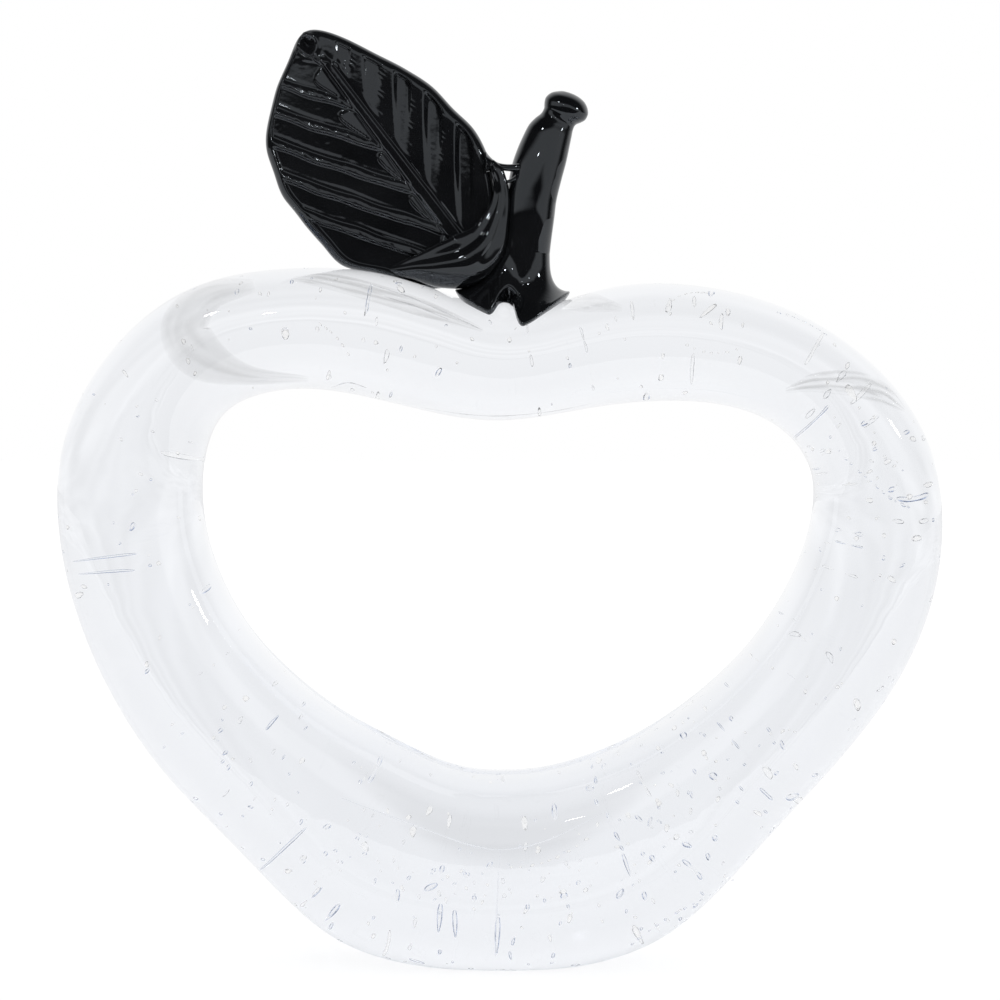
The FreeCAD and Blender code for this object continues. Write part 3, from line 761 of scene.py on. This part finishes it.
def make_collar():
    """The collar: a trail of glass with a lip, a fold and an outer ridge that wraps the leaf's base."""
    stations = np.array(COLLAR_STATIONS)
    steps = np.linalg.norm(np.diff(stations[:, :2], axis=0), axis=1)
    places = np.concatenate([[0], np.cumsum(steps)])
    wanted = np.linspace(0, places[-1], COLLAR_RINGS)
    path = open_spline(places, stations, wanted)
    heading = np.gradient(path[:, :2], wanted, axis=0)
    heading /= np.linalg.norm(heading, axis=1)[:, None]
    turn = np.linspace(0, math.tau, COLLAR_AROUND, endpoint=False)
    degrees = np.degrees(turn)
    share = wanted / places[-1]
    rings = []
    for (x, z, radius), (along_x, along_z), u in zip(path, heading, share):
        fold = math.sin(math.pi * min(max(u, 0), 1)) ** 0.7
        upright = fold * smooth_step(u, 0.38, 0.62)
        shape = (
            1
            + 0.07 * fold * bump(degrees - 30, 20)
            - 0.18 * upright * bump(degrees - 68, 18)
            - 0.15 * fold * bump(degrees - 120, 15)
            + 0.15 * fold * bump(degrees - 150, 14)
        )
        outward = np.array([along_z, 0, -along_x])
        ring = np.array([x, -COLLAR_FORWARD, z]) + radius * shape[:, None] * (
            np.cos(turn)[:, None] * outward + 1.12 * np.sin(turn)[:, None] * np.array([0, -1, 0])
        )
        rings.append(ring)
    rings = np.array(rings)
    size = rings.shape
    points = rings.reshape(-1, 3)
    points = points + 0.10 * wander(points, 4.5, 12)[:, None] * np.array([0.4, 1, 0.4])
    for k in range(len(points)):
        crown = crown_height(points[k, 0], points[k, 1]) - 0.3
        if points[k, 2] < crown:
            points[k, 2] = crown
    return tube_mesh("leaf_collar_glass", points.reshape(size))


# Two strands from the collar to the stem: start, end, and the radius at the start, middle and end
BRIDGE_STRANDS = [
    ((-3.4, -1.6, 195.9), (4.8, -1.8, 194.7), (2.8, 0.85, 1.2)),
    ((-0.4, -2.6, 191.4), (3.9, -2.2, 192.2), (1.3, 0.42, 1.0)),
]
STRAND_AROUND, STRAND_RINGS = 40, 60


def make_bridge():
    """The bridge: two drawn strands of glass, thin in the middle, that tie collar and stem."""
    turn = np.linspace(0, math.tau, STRAND_AROUND, endpoint=False)
    circle = np.stack([np.zeros(STRAND_AROUND), 1.3 * np.sin(turn), np.cos(turn)], 1)
    pieces = []
    for number, (start, end, radii) in enumerate(BRIDGE_STRANDS, start=1):
        start, end = np.array(start), np.array(end)
        rings = []
        for u in np.linspace(0, 1, STRAND_RINGS):
            side = radii[0] if u < 0.5 else radii[2]
            flare = abs(2 * u - 1) ** 2.6
            radius = radii[1] + (side - radii[1]) * flare
            middle = start + (end - start) * u - [0, 0, 0.5 * math.sin(math.pi * u)]
            rings.append(middle + radius * circle)
        pieces.append(tube_mesh(f"leaf_bridge_strand_{number}", np.array(rings)))
    return pieces


# Materials

def new_material(name):
    """An empty node material and its node tree."""
    material = bpy.data.materials.new(name)
    material.use_nodes = True
    material.node_tree.nodes.clear()
    return material, material.node_tree


def add_node(tree, kind, inputs=None, **settings):
    """A node with its settings, and with values or links for its inputs."""
    node = tree.nodes.new(kind)
    for key, value in settings.items():
        setattr(node, key, value)
    for key, value in (inputs or {}).items():
        if isinstance(value, bpy.types.NodeSocket):
            tree.links.new(value, node.inputs[key])
        else:
            node.inputs[key].default_value = value
    return node


def mapped(tree, value, start, end, low, high, kind="LINEAR"):
    """A number that goes from low to high as the value goes from start to end."""
    return add_node(
        tree,
        "ShaderNodeMapRange",
        {"Value": value, "From Min": start, "From Max": end, "To Min": low, "To Max": high},
        interpolation_type=kind,
    ).outputs["Result"]


def mixed(tree, factor, off, on):
    """A number that is off where the factor is 0 and on where it is 1."""
    return add_node(tree, "ShaderNodeMix", {0: factor, 2: off, 3: on}).outputs[0]


def cloudy(tree, vector, scale, low, high, detail):
    """A noise over the vector, mapped from low to high."""
    grain = add_node(tree, "ShaderNodeTexNoise", {"Vector": vector, "Scale": scale, "Detail": detail})
    return mapped(tree, grain.outputs["Fac"], 0.3, 0.7, low, high)


def noise_value(tree, scale, low, high, detail=3.0, stretch=(1, 1, 1)):
    """A noise over the object's own coordinates, mapped from low to high."""
    place = add_node(tree, "ShaderNodeTexCoord").outputs["Object"]
    mapping = add_node(tree, "ShaderNodeMapping", {"Vector": place, "Scale": stretch})
    return cloudy(tree, mapping.outputs["Vector"], scale, low, high, detail)


def clear_glass():
    """Clear soda glass, a touch blue in its depth, that lets lamps shine through."""
    material, tree = new_material("clear_seeded_glass")
    height = noise_value(tree, 60.0, 0.0, 1.0, 2.0)
    skin = add_node(tree, "ShaderNodeBump", {"Height": height, "Strength": 0.10, "Distance": 0.0006})
    glass = add_node(
        tree,
        "ShaderNodeBsdfPrincipled",
        {
            "Base Color": (1.0, 1.0, 1.0, 1.0),
            "Roughness": noise_value(tree, 45.0, 0.0, 0.03),
            "IOR": 1.5,
            "Transmission Weight": 1.0,
            "Normal": skin.outputs["Normal"],
        },
    )
    window = add_node(tree, "ShaderNodeBsdfTransparent", {"Color": (0.93, 0.94, 0.95, 1.0)})
    rays = add_node(tree, "ShaderNodeLightPath")
    surface = add_node(
        tree,
        "ShaderNodeMixShader",
        {0: rays.outputs["Is Shadow Ray"], 1: glass.outputs[0], 2: window.outputs[0]},
    )
    tint = {"Color": (0.40, 0.55, 0.84, 1.0), "Density": 2.6}
    depth = add_node(tree, "ShaderNodeVolumeAbsorption", tint)
    ends = {"Surface": surface.outputs[0], "Volume": depth.outputs[0]}
    add_node(tree, "ShaderNodeOutputMaterial", ends)
    return material


def painted_reflection():
    """A thin grey of painted reflection in the clear glass, as dark as the mesh says at each vertex."""
    material, tree = new_material("painted_reflection_grey")
    darkness = add_node(tree, "ShaderNodeAttribute", attribute_name="darkness")
    reflection_grey = add_node(
        tree,
        "ShaderNodeBsdfPrincipled",
        {
            "Base Color": (0.16, 0.16, 0.155, 1.0),
            "Roughness": noise_value(tree, 90.0, 0.6, 0.8),
            "Specular IOR Level": 0.0,
            "Alpha": darkness.outputs["Fac"],
        },
    )
    add_node(tree, "ShaderNodeOutputMaterial", {"Surface": reflection_grey.outputs[0]})
    return material


def black_glass(name, rough_low, rough_high, grain, stretch, relief):
    """Black glass: near black all through, with a fire-polished skin that carries faint tool marks."""
    material, tree = new_material(name)
    tone = noise_value(tree, 70.0, 0.0, 1.0)
    colour = add_node(
        tree,
        "ShaderNodeMix",
        {0: tone, 6: (0.0025, 0.0027, 0.0032, 1.0), 7: (0.0055, 0.0058, 0.0066, 1.0)},
        data_type="RGBA",
    )
    marks = noise_value(tree, grain, 0.0, 1.0, 4.0, stretch)
    skin = add_node(tree, "ShaderNodeBump", {"Height": marks, "Strength": 0.35, "Distance": relief})
    glass = add_node(
        tree,
        "ShaderNodeBsdfPrincipled",
        {
            "Base Color": colour.outputs[2],
            "Roughness": noise_value(tree, 160.0, rough_low, rough_high),
            "IOR": 1.56,
            "Specular Tint": (0.86, 0.93, 1.0, 1.0),
            "Normal": skin.outputs["Normal"],
        },
    )
    add_node(tree, "ShaderNodeOutputMaterial", {"Surface": glass.outputs[0]})
    return material


# Studio

FLOOR_SIZE, FLOOR_FRONT = 4.0, 0.42
FLOOR_WHITE = 0.72  # share of plain white in what the camera sees of the floor
LAMP_TARGET = Vector((0.0, 0.0, 0.15))
# The soft box in front, as black glass mirrors it: how bright it is, how far right its edges begin to
# drop and how steeply, and how far a surface faces up where it begins and stops to mirror the box
BOX_BRIGHTNESS, BOX_TURN, BOX_DROP = 0.80, 0.40, 0.55
BOX_LOWER_EDGE, BOX_UPPER_EDGE = (0.090, 0.150), (0.50, 0.36)
GLASS_SEES = (0.90, 0.98)  # how bright the backdrop and the floor look through the clear glass
LIGHT_FROM_WORLD = 0.85  # how bright the world is as a light
# A painted shade on the floor behind the foot, which only the clear glass sees: place and scale of its
# map
PAINTED_SHADE_PLACE, PAINTED_SHADE_SCALE = (0.0, -2.2, 0.0), (13.0, 20.0, 1.0)
CAMERA_RISE = math.radians(4.0)
CAMERA_DISTANCE = 1.10
VIEW_WIDTH = 0.2444
VIEW_CENTRE = Vector((0.0, 0.0, 0.1137))
SENSOR = 36.0


def make_floor():
    """The pale floor: white to the camera, with the object's faint shadow, and pale to glass, with a
    painted shade behind the foot.
    """
    half = FLOOR_SIZE / 2
    mesh = bpy.data.meshes.new("floor")
    corners = [(-half, -FLOOR_FRONT, 0), (half, -FLOOR_FRONT, 0), (half, half, 0), (-half, half, 0)]
    mesh.from_pydata(corners, [], [(0, 1, 2, 3)])
    floor = bpy.data.objects.new("floor", mesh)
    bpy.context.scene.collection.objects.link(floor)
    material, tree = new_material("studio_floor")
    rays = add_node(tree, "ShaderNodeLightPath")
    place = add_node(tree, "ShaderNodeTexCoord").outputs["Object"]
    # Painted shade: a darker patch behind the foot, which only the clear glass sees
    painted_shade_map = add_node(
        tree, "ShaderNodeMapping", {"Vector": place, "Location": PAINTED_SHADE_PLACE, "Scale": PAINTED_SHADE_SCALE}
    )
    from_painted_shade = add_node(tree, "ShaderNodeVectorMath", {0: painted_shade_map.outputs["Vector"]}, operation="LENGTH")
    shade = mapped(tree, from_painted_shade.outputs["Value"], 0.2, 1.0, 0.86, 1.0, "SMOOTHSTEP")
    paper = noise_value(tree, 5.0, *GLASS_SEES, 1.0)
    tone = add_node(tree, "ShaderNodeMath", {0: paper, 1: shade}, operation="MULTIPLY")
    from_middle = add_node(tree, "ShaderNodeVectorMath", {0: place}, operation="LENGTH")
    bright = mapped(tree, from_middle.outputs["Value"], 0.3, 1.2, 1.06, 1.25)
    strength = mixed(tree, rays.outputs["Is Camera Ray"], tone.outputs[0], bright)
    # To the camera the floor is mostly plain white and the rest matt, which keeps the shadow
    shining = add_node(
        tree,
        "ShaderNodeMath",
        {0: rays.outputs["Is Camera Ray"], 1: FLOOR_WHITE, 2: rays.outputs["Is Transmission Ray"]},
        operation="MULTIPLY_ADD",
    )
    matt = add_node(tree, "ShaderNodeBsdfDiffuse", {"Color": (0.88, 0.88, 0.885, 1.0)})
    white = add_node(tree, "ShaderNodeEmission", {"Color": (1.0, 1.0, 1.0, 1.0), "Strength": strength})
    blend = add_node(
        tree, "ShaderNodeMixShader", {0: shining.outputs[0], 1: matt.outputs[0], 2: white.outputs[0]}
    )
    add_node(tree, "ShaderNodeOutputMaterial", {"Surface": blend.outputs[0]})
    mesh.materials.append(material)


def make_world():
    """A white backdrop. Towards the camera's side the studio is dark, which black glass mirrors."""
    world = bpy.data.worlds.new("studio")
    bpy.context.scene.world = world
    world.use_nodes = True
    tree = world.node_tree
    tree.nodes.clear()
    rays = add_node(tree, "ShaderNodeLightPath")
    direction = add_node(tree, "ShaderNodeTexCoord").outputs["Generated"]
    axes = add_node(tree, "ShaderNodeSeparateXYZ", {0: direction})

    def ramp(value, start, end, low=0.0, high=1.0):
        """Goes smoothly from low to high as the value goes from start to end."""
        return mapped(tree, value, start, end, low, high, "SMOOTHSTEP")

    def combine(operation, first, *others):
        """The values put together two by two."""
        for other in others:
            both = add_node(tree, "ShaderNodeMath", {0: first, 1: other}, operation=operation)
            first = both.outputs[0]
        return first

    rightwards = combine("MAXIMUM", combine("SUBTRACT", axes.outputs["X"], BOX_TURN), 0.0)
    lowered = combine("ADD", combine("MULTIPLY", rightwards, BOX_DROP), axes.outputs["Z"])
    height = combine("DIVIDE", lowered, combine("SUBTRACT", 1.0, axes.outputs["Y"]))
    backdrop = ramp(axes.outputs["Y"], 0.15, 0.65, 0.02, 1.0)
    box = combine(
        "MULTIPLY",
        ramp(height, *BOX_LOWER_EDGE),
        ramp(height, *BOX_UPPER_EDGE),
        ramp(axes.outputs["Y"], 0.10, -0.25),
        BOX_BRIGHTNESS,
    )
    mirrored = combine("MAXIMUM", backdrop, box)
    paper = cloudy(tree, direction, 1.7, *GLASS_SEES, 1.0)
    refracted = combine("MULTIPLY", ramp(axes.outputs["Y"], -0.9, -0.1, 0.80, 1.0), paper)
    glossy = mixed(tree, rays.outputs["Is Glossy Ray"], LIGHT_FROM_WORLD, mirrored)
    through = mixed(tree, rays.outputs["Is Transmission Ray"], glossy, refracted)
    strength = mixed(tree, rays.outputs["Is Camera Ray"], through, 1.0)
    sky = add_node(tree, "ShaderNodeBackground", {"Color": (1.0, 1.0, 1.0, 1.0), "Strength": strength})
    add_node(tree, "ShaderNodeOutputWorld", {"Surface": sky.outputs[0]})


def add_lamp(name, place, width, height, radiance, mirrored):
    """A rectangular soft lamp aimed at the object. radiance is how bright its face is, 1 as white."""
    lamp = bpy.data.lights.new(name, "AREA")
    lamp.shape = "RECTANGLE"
    lamp.size, lamp.size_y = width, height
    lamp.energy = radiance * math.pi * width * height
    holder = bpy.data.objects.new(name, lamp)
    holder.location = place
    holder.rotation_euler = (LAMP_TARGET - Vector(place)).to_track_quat("-Z", "Y").to_euler()
    holder.visible_glossy = mirrored
    holder.visible_diffuse = not mirrored
    holder.visible_transmission = False
    bpy.context.scene.collection.objects.link(holder)


def make_lamps():
    """Soft boxes that light the object, and three small lamps that only glint on it."""
    add_lamp("front_panel", (-0.05, -1.19, 0.95), 2.6, 0.86, 1.05, False)
    add_lamp("right_panel", (0.84, -0.98, 0.56), 1.8, 0.84, 0.90, False)
    add_lamp("overhead", (0.1, 0.45, 1.5), 1.0, 0.7, 1.2, False)
    add_lamp("front_glint", (-0.16, -1.00, 0.76), 0.032, 0.032, 110.0, True)
    add_lamp("right_glint", (0.95, -0.35, 0.60), 0.12, 0.12, 40.0, True)
    add_lamp("left_glint", (-0.70, -0.95, 1.65), 0.12, 0.12, 70.0, True)


def make_camera():
    """The camera looks at the middle of the photograph's frame, from slightly above."""
    lens = bpy.data.cameras.new("camera")
    lens.sensor_width = SENSOR
    lens.lens = SENSOR * CAMERA_DISTANCE / VIEW_WIDTH
    camera = bpy.data.objects.new("camera", lens)
    offset = Vector((0, -math.cos(CAMERA_RISE), math.sin(CAMERA_RISE))) * CAMERA_DISTANCE
    camera.location = VIEW_CENTRE + offset
    camera.rotation_euler = (-offset).to_track_quat("-Z", "Y").to_euler()
    bpy.context.scene.collection.objects.link(camera)
    bpy.context.scene.camera = camera


def dress(piece, material, slot, *nodes):
    """Gives the piece its material and its body, and hides the CAD nodes that it stands for; slot is
    not used.
    """
    piece.data.materials.append(material)
    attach(piece, "root")
    if nodes:
        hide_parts(*nodes)


make_camera()
make_floor()
make_world()
make_lamps()

dress(loop_glass, clear_glass(), "clear_glass", "apple_loop")
# Dark sheets inside the clear glass: painted reflection of the black leaf and the dark studio
dress(make_painted_reflections(crown_skin), painted_reflection(), "clear_glass")
stem_black = black_glass("stem_black_glass", 0.015, 0.05, 240.0, (1, 1, 0.25), 0.00004)
leaf_black = black_glass("leaf_black_glass", 0.02, 0.08, 420.0, (1, 1, 1), 0.00005)
dress(make_stem(), stem_black, "black_glass_stem", "stem")
dress(make_leaf(), leaf_black, "black_glass_leaf", "leaf")
dress(make_collar(), stem_black, "black_glass_leaf", "leaf_collar")
strands = make_bridge()
dress(strands[0], stem_black, "black_glass_leaf", "leaf_bridge")
dress(strands[1], stem_black, "black_glass_leaf")

scene = bpy.context.scene
scene.view_settings.view_transform = "Standard"
scene.cycles.caustics_refractive = True
scene.cycles.caustics_reflective = True
scene.cycles.max_bounces = 32
scene.cycles.transmission_bounces = 32
scene.cycles.glossy_bounces = 12
scene.cycles.transparent_max_bounces = 32
